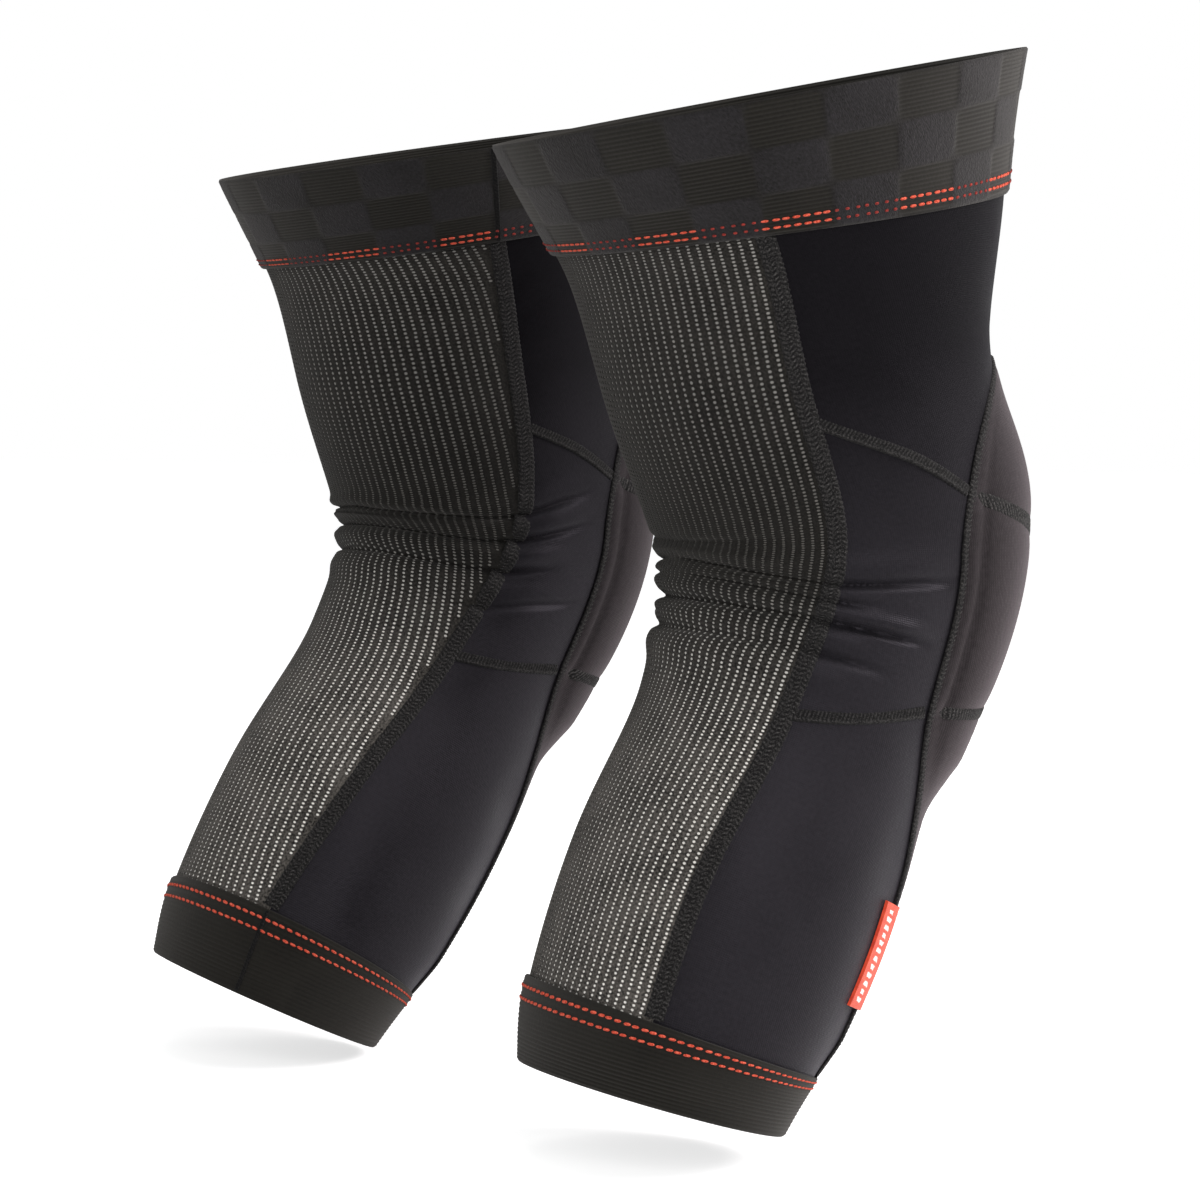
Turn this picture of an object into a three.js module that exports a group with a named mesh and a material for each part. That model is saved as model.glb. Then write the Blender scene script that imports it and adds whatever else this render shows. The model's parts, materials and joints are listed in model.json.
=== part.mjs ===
// A pair of sleeve knee guards: elastic sleeves with a mesh back and soft pads over the knee cap.
// Millimetres, +Z up, knees facing -Y, the wearer's right guard on -X. Both guards keep the bent
// shape that they are sewn in. A place on a sleeve is a height on its centre line, counted from the
// knee, and a turn around it in degrees, from 0 at the back, over 90 on the outer side, to 180 in front
// and 270 on the inner side.

import * as THREE from "three";

const SPACING = 264; // between the two knees

// The two guards mirror each other, and each stands in its own way. Angles are in degrees: how far the
// knee points outward, how far the whole leg leans forward, and how much more its shin is bent back.
const LEGS = {
  right: { side: -1, toeOut: 7.7, lean: 0, bend: 0 },
  left: { side: 1, toeOut: 2.7, lean: 2.8, bend: 8.5 },
};
const BEND_REACH = 40; // the extra bend of the shin takes this height to build up

// height above the knee, distance behind it, and radius of the sleeve, from the calf hem to the thigh rim
const LEVELS = [
  [-202, 71, 49],
  [-176, 63, 55],
  [-128, 44, 58.5],
  [-66, 19, 56],
  [0, 3.5, 64.5],
  [72, 20, 72.5],
  [118, 27, 82.5],
  [163, 37, 97],
];

const CALF_HEM = -202;
const CALF_CUFF_TOP = -176;
const THIGH_CUFF_BOTTOM = 118;
const THIGH_RIM = 163;
const UNDER_CUFF = 8; // the panels run this far under both cuffs
const ARCH_TOP = 52; // top of the pad cover
const ARCH_REACH = 54; // height at which the arch would close
const KNEE_WIDTH = 68; // degrees from the front to the widest point of the pad cover
const PAD_BOTTOM = -80;

const GAP = 0.4; // between neighbouring panels
const FABRIC = 1.2;
const CUFF_INSIDE = 0.8; // cuffs lie this far outside the panels' face
const CUFF_OUTSIDE = 2;
const COVER_LIFT = 0.4; // the pad cover is sewn on over the panels
const COVER_FABRIC = 1;
const PAD_RISE = 8;
const PAD_EDGE = 0.9; // share of the cover's reach where the pads begin to lift it
const PAD_SLOPE = 22; // length of the pads' slope at both ends
const PAD_PLAY = 0.8; // the pads sit this far under their cover's inner lift
const PAD_INSIDE = -2.2;
const LINING_OUTSIDE = -2.9;
const LINING_FABRIC = 0.8;
const SEAM_LIFT = 0.6;
const COVER_SEAM_LIFT = 2;
const CROSSING_LIFT = 2.6; // seams that run over the raised cover
const SEAM_THICK = 0.8;
const BACK_SEAM_WIDTH = 7;
const SEAM_WIDTH = 4.5;

const COLUMN = 10; // degrees of one facet around the leg
const ROW = 19; // about the height of one facet
const PADDED_ROW = 7; // the same where the pads curve the cover

const { lerp, smoothstep, degToRad, radToDeg } = THREE.MathUtils;

const look = (color, roughness) => new THREE.MeshStandardMaterial({ color, roughness, metalness: 0 });
const LYCRA = look("#17151a", 0.6);
const MESH = look("#2b2a28", 0.8);
const COVER = look("#1d191b", 0.75);
const CUFF = look("#26231f", 0.85);
const THREAD = look("#100f11", 0.7);
const FOAM = look("#3a3a3c", 0.9);
const SILICONE = look("#2a2a2d", 0.4);
const LABEL = look("#c8321f", 0.6);

// A smooth curve through [place, value] rows in rising order, which runs straight on past both ends.
function curveThrough(points, column = 1) {
  const last = points.length - 1;
  const slopes = points.map((_, i) => {
    const before = points[Math.max(i - 1, 0)];
    const after = points[Math.min(i + 1, last)];
    return (after[column] - before[column]) / (after[0] - before[0]);
  });
  return (place) => {
    if (place <= points[0][0]) return points[0][column] + slopes[0] * (place - points[0][0]);
    if (place >= points[last][0]) return points[last][column] + slopes[last] * (place - points[last][0]);
    const i = points.findIndex((point) => point[0] > place) - 1;
    const step = points[i + 1][0] - points[i][0];
    const t = (place - points[i][0]) / step;
    const bend = t * t * (3 - 2 * t);
    const leave = t * (1 - t) * (1 - t) * step * slopes[i];
    const arrive = t * t * (t - 1) * step * slopes[i + 1];
    return lerp(points[i][column], points[i + 1][column], bend) + leave + arrive;
  };
}

const centreAt = curveThrough(LEVELS, 1);
const radiusAt = curveThrough(LEVELS, 2);

// How far the centre line lies behind the knee on one leg.
function backAt(leg, height) {
  const below = Math.max(-height, 0);
  const bent = below < BEND_REACH ? below ** 2 / (2 * BEND_REACH) : below - BEND_REACH / 2;
  return centreAt(height) + Math.tan(degToRad(leg.bend)) * bent - Math.tan(degToRad(leg.lean)) * height;
}

// how far the seam along each side of the mesh back lies from the back, in degrees
const backSeam = {
  outer: curveThrough([
    [-176, 57],
    [-128, 56],
    [-66, 62],
    [0, 66],
    [72, 64],
    [118, 60],
  ]),
  inner: curveThrough([
    [-176, 47],
    [-128, 54],
    [-66, 64],
    [0, 72],
    [60, 76],
    [118, 71],
  ]),
};

// how far the pad cover reaches from the front, in degrees: an arch above the knee, a taper below it
const taper = curveThrough([
  [-176, 30],
  [-110, 34],
  [-80, 44],
  [-48, 60],
  [0, KNEE_WIDTH],
]);
const arch = (height) => KNEE_WIDTH * Math.sqrt(Math.max(1 - (height / ARCH_REACH) ** 2, 0));
const coverReach = (height) => (height > 0 ? arch(height) : taper(height));
const frontSeamTurn = (height) => 180 - coverReach(height);

// heights of the two seams that run around the knee, by turn
const kneeSeam = curveThrough([
  [60, 58],
  [90, 35],
  [117, 15],
  [150, 5],
  [180, 2],
]);
const lowerSeam = curveThrough([
  [56, -67],
  [84, -61],
  [120, -49],
  [157, -42],
  [180, -40],
]);
const folded = (turn) => (turn > 180 ? 360 - turn : turn);

// The lower edge of the thigh panel follows the knee seam on the sides and the arch in front.
function thighPanelEdge(turn) {
  const fromFront = 180 - folded(turn);
  const onArch = ARCH_REACH * Math.sqrt(Math.max(1 - (fromFront / KNEE_WIDTH) ** 2, 0));
  return Math.max(kneeSeam(folded(turn)), Math.min(onArch, ARCH_TOP));
}

// How far the pads push their cover out.
function padRise(height, turn) {
  const fromFront = (180 - folded(turn)) / (PAD_EDGE * coverReach(Math.min(height, ARCH_TOP)));
  const across = Math.max(1 - fromFront * fromFront, 0) ** 0.6;
  const above = smoothstep(height - PAD_BOTTOM, -2, PAD_SLOPE);
  const below = smoothstep(ARCH_TOP - 3 - height, 0, PAD_SLOPE);
  return PAD_RISE * across * above * below;
}

// The centre line and the outward direction at a place, with x outward, y back and z up.
function section(leg, height, turn) {
  const slope = backAt(leg, height + 0.5) - backAt(leg, height - 0.5);
  const back = new THREE.Vector3(0, 1, -slope).normalize();
  const angle = degToRad(turn);
  const out = back.multiplyScalar(Math.cos(angle)).add(new THREE.Vector3(Math.sin(angle), 0, 0));
  return { centre: new THREE.Vector3(0, backAt(leg, height), height), out };
}

function onSleeve(leg, height, turn, lift) {
  const { centre, out } = section(leg, height, turn);
  return centre.addScaledVector(out, radiusAt(height) + lift);
}

function volume(positions, faces) {
  const corner = (i) => new THREE.Vector3(...positions[i]);
  return faces.reduce((sum, [a, b, c]) => sum + corner(a).dot(corner(b).cross(corner(c))) / 6, 0);
}

function solid(positions, faces) {
  const outward = volume(positions, faces) < 0 ? faces.map(([a, b, c]) => [a, c, b]) : faces;
  const geometry = new THREE.BufferGeometry();
  geometry.setAttribute("position", new THREE.Float32BufferAttribute(positions.flat(), 3));
  geometry.setIndex(outward.flat());
  geometry.computeVertexNormals();
  return geometry;
}

// A closed shell between an inner and an outer grid of points; a ring closes on itself around the leg.
function shell(leg, point, columns, rows, ring = false) {
  const across = ring ? columns : columns + 1;
  const positions = [];
  const faces = [];
  const at = (layer, j, i) => (layer * (rows + 1) + j) * across + (i % across);
  const quad = (a, b, c, d) => faces.push([a, b, c], [a, c, d]);
  for (const layer of [0, 1]) {
    for (let j = 0; j <= rows; j++) {
      for (let i = 0; i < across; i++) {
        const { x, y, z } = point(i / columns, j / rows, layer);
        positions.push([leg.side * x, y, z]);
      }
    }
  }
  for (let j = 0; j < rows; j++) {
    for (let i = 0; i < columns; i++) {
      quad(at(0, j, i), at(0, j, i + 1), at(0, j + 1, i + 1), at(0, j + 1, i));
      quad(at(1, j, i), at(1, j + 1, i), at(1, j + 1, i + 1), at(1, j, i + 1));
    }
  }
  for (let i = 0; i < columns; i++) {
    quad(at(0, 0, i), at(1, 0, i), at(1, 0, i + 1), at(0, 0, i + 1));
    quad(at(0, rows, i), at(0, rows, i + 1), at(1, rows, i + 1), at(1, rows, i));
  }
  for (let j = 0; j < rows && !ring; j++) {
    quad(at(0, j, 0), at(0, j + 1, 0), at(1, j + 1, 0), at(1, j, 0));
    quad(at(0, j, columns), at(1, j, columns), at(1, j + 1, columns), at(0, j + 1, columns));
  }
  return solid(positions, faces);
}

// A piece of fabric bounded by two turns, which depend on height, and two heights, which depend on turn.
function panel(leg, { from, to, low, high, inside, outside, row = ROW }) {
  const turn = (from(0) + to(0)) / 2;
  const middle = (low(turn) + high(turn)) / 2;
  const columns = Math.max(2, Math.round((to(middle) - from(middle)) / COLUMN));
  const rows = Math.max(2, Math.round((high(turn) - low(turn)) / row));
  const place = (across, along) => {
    let height = middle;
    let turn = 0;
    for (let pass = 0; pass < 8; pass++) {
      const inset = radToDeg(GAP / radiusAt(height));
      turn = lerp(from(height) + inset, to(height) - inset, across);
      height = lerp(low(turn) + GAP, high(turn) - GAP, along);
    }
    return [height, turn];
  };
  const point = (across, along, layer) => {
    const [height, turn] = place(across, along);
    return onSleeve(leg, height, turn, (layer ? outside : inside)(height, turn));
  };
  return shell(leg, point, columns, rows);
}

// A band right around the leg, with flat rims.
function band(leg, low, high, inside, outside) {
  const point = (across, along, layer) =>
    onSleeve(leg, lerp(low, high, along), 360 * across, layer ? outside : inside);
  return shell(leg, point, 360 / COLUMN, Math.max(2, Math.round((high - low) / ROW)), true);
}

// A flat sewn seam along a path of [height, turn] places.
function seam(leg, path, width, lift, steps) {
  const point = (across, along, layer) => {
    const [height, turn] = path(along);
    const here = onSleeve(leg, height, turn, lift + layer * SEAM_THICK);
    const before = onSleeve(leg, ...path(along - 0.01), 0);
    const after = onSleeve(leg, ...path(along + 0.01), 0);
    const sideways = after.sub(before).cross(section(leg, height, turn).out).normalize();
    return here.addScaledVector(sideways, (across - 0.5) * width);
  };
  return shell(leg, point, 1, steps);
}

const level = (height) => () => height;
const mirrored = (turn) => 360 - turn;

// The same piece on the outer side of the leg or, mirrored, on the inner side.
function onFlank(flank, edges) {
  if (flank === "outer") return edges;
  const { from, to, low, high, inside, outside } = edges;
  return {
    from: (height) => mirrored(to(height)),
    to: (height) => mirrored(from(height)),
    low: (turn) => low(mirrored(turn)),
    high: (turn) => high(mirrored(turn)),
    inside,
    outside,
  };
}

const plain = { inside: level(-FABRIC), outside: level(0) };
const lifted = {
  inside: (height, turn) => COVER_LIFT + padRise(height, turn),
  outside: (height, turn) => COVER_LIFT + COVER_FABRIC + padRise(height, turn),
  row: PADDED_ROW,
};
const padded = {
  inside: level(PAD_INSIDE),
  outside: (height, turn) => padRise(height, turn) - PAD_PLAY,
  row: PADDED_ROW,
};
const acrossFront = { from: frontSeamTurn, to: (height) => mirrored(frontSeamTurn(height)) };
const PANEL_TOP = THIGH_CUFF_BOTTOM + UNDER_CUFF;
const PANEL_BOTTOM = CALF_CUFF_TOP - UNDER_CUFF;

function cuffs(leg) {
  return [
    ["thigh_cuff", band(leg, THIGH_CUFF_BOTTOM, THIGH_RIM, CUFF_INSIDE, CUFF_OUTSIDE), CUFF],
    ["thigh_gripper", band(leg, PANEL_TOP + 6, THIGH_RIM - 6, -1.2, 0), SILICONE],
    ["calf_cuff", band(leg, CALF_HEM, CALF_CUFF_TOP, CUFF_INSIDE, CUFF_OUTSIDE), CUFF],
    ["calf_gripper", band(leg, CALF_HEM + 4, PANEL_BOTTOM - 3, -1.2, 0), SILICONE],
  ];
}

function backAndThigh(leg) {
  const mesh = {
    from: (height) => -backSeam.inner(height),
    to: backSeam.outer,
    low: level(PANEL_BOTTOM),
    high: level(PANEL_TOP),
    ...plain,
  };
  const thigh = {
    from: backSeam.outer,
    to: (height) => mirrored(backSeam.inner(height)),
    low: thighPanelEdge,
    high: level(PANEL_TOP),
    ...plain,
  };
  return [
    ["mesh_panel", panel(leg, mesh), MESH],
    ["thigh_panel", panel(leg, thigh), LYCRA],
  ];
}

function sidePanels(leg, flank) {
  const across = { from: backSeam[flank], to: frontSeamTurn, ...plain };
  const knee = { ...across, low: lowerSeam, high: kneeSeam };
  const calf = { ...across, low: level(PANEL_BOTTOM), high: lowerSeam };
  return [
    [`knee_side_${flank}`, panel(leg, onFlank(flank, knee)), LYCRA],
    [`calf_side_${flank}`, panel(leg, onFlank(flank, calf)), LYCRA],
  ];
}

function padCovers(leg) {
  const kneeLine = (turn) => kneeSeam(folded(turn));
  const lowerLine = (turn) => lowerSeam(folded(turn));
  const over = (low, high) => panel(leg, { ...acrossFront, low, high, ...lifted });
  return [
    ["cover_thigh", over(kneeLine, level(ARCH_TOP)), COVER],
    ["cover_knee", over(lowerLine, kneeLine), COVER],
    ["cover_shin", over(level(CALF_CUFF_TOP), lowerLine), COVER],
  ];
}

// Three soft pads with a hinge line between each pair, in a pocket closed by a lining on the leg's side.
function pads(leg) {
  const hinge = 3;
  const reach = 0.86;
  const kneeLine = (shift) => (turn) => kneeSeam(folded(turn)) + shift;
  const lowerLine = (shift) => (turn) => lowerSeam(folded(turn)) + shift;
  const across = (share) => ({
    from: (height) => 180 - share * coverReach(height),
    to: (height) => 180 + share * coverReach(height),
  });
  const pad = (low, high) => panel(leg, { ...across(reach), low, high, ...padded });
  const lining = {
    ...across(0.95),
    low: level(PAD_BOTTOM - 6),
    high: level(ARCH_TOP - 2),
    inside: level(LINING_OUTSIDE - LINING_FABRIC),
    outside: level(LINING_OUTSIDE),
  };
  return [
    ["pad_thigh", pad(kneeLine(hinge), level(ARCH_TOP - 6)), FOAM],
    ["pad_knee", pad(lowerLine(hinge), kneeLine(-hinge)), FOAM],
    ["pad_shin", pad(level(PAD_BOTTOM), lowerLine(-hinge)), FOAM],
    ["pocket_lining", panel(leg, lining), LYCRA],
  ];
}

// Seams along the leg, from cuff to cuff behind and from the arch to the calf cuff in front.
function longSeams(leg, flank) {
  const way = flank === "outer" ? 1 : -1;
  const bottom = CALF_CUFF_TOP + 1;
  const belowArch = 0.55; // share of the front seam's steps that lie below the arch
  const top = Math.asin((ARCH_TOP - 1) / ARCH_REACH);
  const behind = (along) => {
    const height = lerp(bottom, THIGH_CUFF_BOTTOM - 1, along);
    return [height, way * backSeam[flank](height)];
  };
  const front = (along) => {
    const height =
      along < belowArch
        ? lerp(bottom, 0, along / belowArch)
        : ARCH_REACH * Math.sin((top * (along - belowArch)) / (1 - belowArch));
    return [height, way * frontSeamTurn(height)];
  };
  return [
    [`back_seam_${flank}`, seam(leg, behind, BACK_SEAM_WIDTH, SEAM_LIFT, 18), THREAD],
    [`front_seam_${flank}`, seam(leg, front, SEAM_WIDTH, COVER_SEAM_LIFT, 22), THREAD],
  ];
}

// Seams from the back seam to the front seam on one side of the leg.
function sideSeams(leg, flank) {
  const way = flank === "outer" ? 1 : -1;
  const across = (heightAt, reach) => (along) => {
    const turn = lerp(backSeam[flank](heightAt(60)) + 4.8, reach, along);
    return [heightAt(turn), way * turn];
  };
  return [
    [`diagonal_seam_${flank}`, seam(leg, across(kneeSeam, 114), SEAM_WIDTH, SEAM_LIFT, 6), THREAD],
    [`lower_seam_${flank}`, seam(leg, across(lowerSeam, 116), SEAM_WIDTH, SEAM_LIFT, 6), THREAD],
  ];
}

// The same two seams where they cross the pad cover in front.
function frontSeams(leg) {
  const over = (heightAt, reach) => (across, along, layer) => {
    const turn = lerp(180 - reach, 180 + reach, along);
    const height = heightAt(folded(turn)) + (across - 0.5) * SEAM_WIDTH;
    const lift = CROSSING_LIFT + layer * SEAM_THICK + padRise(height, turn);
    return onSleeve(leg, height, turn, lift);
  };
  return [
    ["knee_seam", shell(leg, over(kneeSeam, 62), 1, 16), THREAD],
    ["shin_seam", shell(leg, over(lowerSeam, 55), 1, 14), THREAD],
  ];
}

// The small woven tab on the outer side of the calf, folded and held by the front seam.
function label(leg) {
  const tab = {
    from: (height) => frontSeamTurn(height) - 11.5,
    to: (height) => frontSeamTurn(height) - 2.2,
    low: level(-148),
    high: level(-110),
    inside: level(0.5),
    outside: level(1.3),
  };
  return [["label_tab", panel(leg, tab), LABEL]];
}

function guard(name, leg) {
  const flanks = ["outer", "inner"];
  const pieces = [
    ...cuffs(leg),
    ...backAndThigh(leg),
    ...flanks.flatMap((flank) => sidePanels(leg, flank)),
    ...padCovers(leg),
    ...pads(leg),
    ...flanks.flatMap((flank) => longSeams(leg, flank)),
    ...flanks.flatMap((flank) => sideSeams(leg, flank)),
    ...frontSeams(leg),
    ...label(leg),
  ];
  const group = new THREE.Group();
  for (const [piece, geometry, material] of pieces) {
    const mesh = new THREE.Mesh(geometry, material);
    mesh.name = `${name}_${piece}`;
    group.add(mesh);
  }
  group.position.x = (leg.side * SPACING) / 2;
  group.rotation.z = leg.side * degToRad(leg.toeOut);
  return group;
}

// The origin is on the floor, in the middle under the pair.
function standing(pair) {
  const box = new THREE.Box3().setFromObject(pair, true);
  pair.position.set(-(box.min.x + box.max.x) / 2, -(box.min.y + box.max.y) / 2, -box.min.z);
  return pair;
}

const pair = new THREE.Group();
pair.add(guard("right", LEGS.right), guard("left", LEGS.left));

export default standing(pair);
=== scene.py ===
"""A pair of sleeve knee guards: every panel, seam, stitch row, cuff and pad as its own soft piece.

A place on a sleeve is a height on its centre line in millimetres, counted from the knee, and a turn
around it in degrees, from 0 at the back, over 90 on the outer side, to 180 in front and 270 on the
inner side. A lift is how far a place lies outside the sleeve's face.
"""

import json
import math

import bpy
import numpy as np
from mathutils import Matrix, Vector


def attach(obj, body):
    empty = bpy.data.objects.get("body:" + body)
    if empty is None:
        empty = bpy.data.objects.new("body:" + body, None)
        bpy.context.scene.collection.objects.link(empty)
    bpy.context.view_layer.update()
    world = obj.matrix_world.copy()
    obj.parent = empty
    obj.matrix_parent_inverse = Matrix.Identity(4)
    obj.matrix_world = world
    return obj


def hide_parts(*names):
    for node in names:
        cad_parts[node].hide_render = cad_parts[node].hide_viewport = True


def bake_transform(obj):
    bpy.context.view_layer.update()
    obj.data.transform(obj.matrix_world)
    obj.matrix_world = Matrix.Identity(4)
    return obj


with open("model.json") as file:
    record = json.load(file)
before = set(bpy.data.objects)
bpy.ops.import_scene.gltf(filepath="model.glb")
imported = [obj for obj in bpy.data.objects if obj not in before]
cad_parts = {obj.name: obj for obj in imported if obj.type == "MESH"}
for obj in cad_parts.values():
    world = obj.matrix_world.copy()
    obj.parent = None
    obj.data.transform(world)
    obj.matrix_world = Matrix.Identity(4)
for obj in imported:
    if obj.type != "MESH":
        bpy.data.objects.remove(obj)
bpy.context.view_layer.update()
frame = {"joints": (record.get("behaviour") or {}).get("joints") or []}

MM = 0.001
UP = np.array((0.0, 0.0, 1.0))

# ---- the shape of a sleeve


def curve_through(*points):
    """A smooth curve through (place, value) points in rising order, straight beyond both ends."""
    x, y = np.array(points, float).T
    last = len(x) - 1
    before = np.maximum(np.arange(len(x)) - 1, 0)
    after = np.minimum(np.arange(len(x)) + 1, last)
    slope = (y[after] - y[before]) / (x[after] - x[before])

    def at(place):
        place = np.asarray(place, float)
        inside = np.clip(place, x[0], x[-1])
        i = np.clip(np.searchsorted(x, inside, side="right") - 1, 0, last - 1)
        step = x[i + 1] - x[i]
        t = (inside - x[i]) / step
        level = y[i] + (y[i + 1] - y[i]) * t * t * (3 - 2 * t)
        level = level + step * (t * (1 - t) ** 2 * slope[i] + t * t * (t - 1) * slope[i + 1])
        past = place - inside
        return level + past * np.where(past < 0, slope[0], slope[-1])

    return at


def smoothstep(x, low, high):
    t = np.clip((np.asarray(x, float) - low) / (high - low), 0, 1)
    return t * t * (3 - 2 * t)


def folded(turn):
    """The turn measured on either side from the back, 0 to 180."""
    return np.abs((np.asarray(turn, float) + 180) % 360 - 180)


# distance of the centre line behind the knee, and radius of the sleeve, by height
centre_at = curve_through(
    (-202, 71), (-176, 63), (-128, 44), (-66, 19), (0, 3.5), (72, 20), (118, 27), (163, 37)
)
radius_at = curve_through(
    (-202, 49), (-176, 55), (-128, 58.5), (-66, 56), (0, 64.5), (72, 72.5), (118, 82.5), (163, 97)
)
CALF_HEM, CALF_CUFF_TOP = -202, -176
THIGH_CUFF_BOTTOM, THIGH_RIM = 118, 163
PANEL_BOTTOM, PANEL_TOP = -184, 126
ARCH_TOP, ARCH_REACH, KNEE_WIDTH = 52, 54, 68
PAD_BOTTOM, PAD_RISE, PAD_SLOPE, PAD_TOP_SLOPE = -80, 8, 22, 40
BEND_REACH = 40
FABRIC = 1.0  # thickness of the stretch fabric
SEAM_EDGE = 2.4  # how far the calf stands out along its front seams

# width of the pad cover by height, and height of the seams across the flanks by turn
taper = curve_through((-176, 30), (-110, 34), (-80, 44), (-48, 60), (0, KNEE_WIDTH))
knee_seam = curve_through((60, 58), (90, 35), (117, 15), (150, 5), (180, 2))
lower_seam = curve_through((56, -67), (84, -61), (120, -49), (157, -42), (180, -40))

# how far the seam on each side of the mesh back lies from the back, in degrees
BACK_SEAM = {
    1: curve_through((-176, 57), (-128, 56), (-66, 62), (0, 66), (72, 64), (118, 60)),
    -1: curve_through((-176, 47), (-128, 54), (-66, 64), (0, 72), (60, 76), (118, 71)),
}


def inner_seam(height):
    """The turn of the seam on the inner side of the mesh back."""
    return -BACK_SEAM[-1](height)


def cover_reach(height):
    """How far the pad cover reaches from the front, in degrees."""
    height = np.asarray(height, float)
    arch = KNEE_WIDTH * np.sqrt(np.maximum(1 - (height / ARCH_REACH) ** 2, 0))
    return np.where(height > 0, arch, taper(height))


def front_seam(height):
    return 180 - cover_reach(height)


def thigh_panel_edge(turn):
    from_front = 180 - folded(turn)
    on_arch = ARCH_REACH * np.sqrt(np.maximum(1 - (from_front / KNEE_WIDTH) ** 2, 0))
    return np.maximum(knee_seam(folded(turn)), np.minimum(on_arch, ARCH_TOP))


def pad_rise(height, turn):
    """How far the pads push their cover out."""
    side = folded(turn)
    from_front = (180 - side) / (0.9 * np.maximum(cover_reach(np.minimum(height, ARCH_TOP)), 1))
    across = np.maximum(1 - from_front**2, 0) ** 0.6
    above = smoothstep(height - PAD_BOTTOM, -2, PAD_SLOPE)
    below = smoothstep(ARCH_TOP - 4 - height, 0, PAD_TOP_SLOPE)
    return PAD_RISE * across * above * below


# Creases of the bent knee: heights at turns 0, 60 and 90 from the back, rise (or depth) in mm, half width
# in mm, and the turns over which a crease fades towards the front and, for some, towards the back.
RIGHT_CREASES = (
    ((9, 9, 9), -1.1, 3.2, (24, 60), None),
    ((-4, -8, -4), 1.4, 5.5, (84, 112), None),
    ((-12, -16, -11.5), -2.6, 1.7, (94, 114), (0, 18)),
    ((-22, -19, -16), 1.6, 4.0, (70, 96), None),
    ((-23.5, -22.5, -20), -1.9, 1.5, (66, 88), (4, 22)),
    ((-29, -26.5, -26), 1.9, 3.4, (92, 112), None),
    ((-35, -31, -30), -2.9, 1.7, (92, 110), None),
    ((-41, -37, -36), 1.9, 2.6, (60, 92), None),
    ((-44, -35.5, -33), -1.5, 1.4, (46, 62), (10, 24)),
    ((-47.5, -43, -43), -2.1, 1.7, (78, 98), None),
    ((-55, -50, -49), 2.0, 5.0, (50, 90), None),
)
LEFT_CREASES = (
    ((19, 9, 16), 1.3, 4.5, (70, 100), None),
    ((12, 2, 10), -2.4, 1.8, (84, 106), None),
    ((-8, -6, 3), 1.9, 6.0, (80, 106), None),
    ((-21, -14, -3), -2.6, 1.7, (84, 106), None),
    ((-30, -23, -12), 2.5, 4.6, (74, 100), None),
    ((-38, -30, -19), -2.6, 1.7, (74, 94), None),
    ((-46, -39, -28), 1.3, 4.0, (70, 100), None),
    ((-50, -46.5, -34), -1.8, 1.6, (92, 112), (46, 62)),
)


class Guard:
    """One guard: how its leg stands, its creases, the pitch of its mesh, and how its cuffs sit askew.

    The leg leans forward by lean and its shin is bent back by bend, both in degrees. The rim and the lower
    edge of the thigh cuff and the hem of the calf cuff each have a shift and a tilt in mm, and the turn
    towards which they dip.
    """

    def __init__(self, name, side, lean, bend, folds, pitch, rim, edge, hem):
        joint = next(j for j in frame["joints"] if j["name"] == name + "_knee_bend")
        axis = np.array(joint["axis"], float)
        self.name = name
        self.side = side
        self.knee = np.array(joint["pos_m"], float)
        self.outward = side * axis
        self.back = np.array((-axis[1], axis[0], 0.0))
        self.lean = math.tan(math.radians(lean))
        self.bend = math.tan(math.radians(bend))
        self.folds = [(curve_through(*zip((0, 60, 90), line)), *rest) for line, *rest in folds]
        self.pitch = pitch
        self.rim, self.edge, self.hem = rim, edge, hem

    @staticmethod
    def askew(skew, turn):
        """The shift in height of a cuff's edge at a turn."""
        shift, tilt, towards = skew
        return shift - tilt * np.cos(np.radians(turn - towards))

    def on_thigh_cuff(self, height, turn):
        share = (height - THIGH_CUFF_BOTTOM) / (THIGH_RIM - THIGH_CUFF_BOTTOM)
        return height + self.askew(self.edge, turn) * (1 - share) + self.askew(self.rim, turn) * share

    def on_calf_cuff(self, height, turn):
        share = (CALF_CUFF_TOP - height) / (CALF_CUFF_TOP - CALF_HEM)
        return height + self.askew(self.hem, turn) * share

    def back_at(self, height):
        below = np.maximum(-height, 0)
        bent = np.where(below < BEND_REACH, below**2 / (2 * BEND_REACH), below - BEND_REACH / 2)
        return centre_at(height) + self.bend * bent - self.lean * height

    def creases(self, height, turn):
        side = folded(turn)
        lift = np.zeros(np.broadcast(height, side).shape)
        for line, rise, width, gone, start in self.folds:
            share = 1 - smoothstep(side, *gone)
            if start:
                share = share * smoothstep(side, *start)
            wobble = 0.5 * np.sin(side / 17 + 9 * width)
            lift = lift + rise * share * np.exp(-(((height - line(side) - wobble) / width) ** 2))
        # the front seams pull the calf into two soft edges
        beside = np.abs(side - front_seam(np.minimum(height, 0))) / 12
        calf = smoothstep(-height, 62, 104) * smoothstep(height, -178, -158)
        return lift + SEAM_EDGE * calf * np.exp(-(beside**1.3))

    def section(self, height, turn):
        """The centre line and the outward direction at places, in metres and as unit vectors."""
        slope = self.back_at(height + 0.5) - self.back_at(height - 0.5)
        angle = np.radians(turn)
        behind = np.cos(angle) / np.sqrt(1 + slope**2)
        out = np.sin(angle)[..., None] * self.outward
        out = out + behind[..., None] * self.back - (slope * behind)[..., None] * UP
        centre = self.knee + MM * (self.back_at(height)[..., None] * self.back + height[..., None] * UP)
        return centre, out

    def surface(self, height, turn, lift):
        height, turn, lift = np.broadcast_arrays(*(np.asarray(v, float) for v in (height, turn, lift)))
        centre, out = self.section(height, turn)
        reach = radius_at(height) + lift + self.creases(height, turn)
        return centre + MM * reach[..., None] * out

    def centre_line(self, height):
        centre, _ = self.section(np.array(float(height)), np.array(0.0))
        return tuple(centre)


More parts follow.
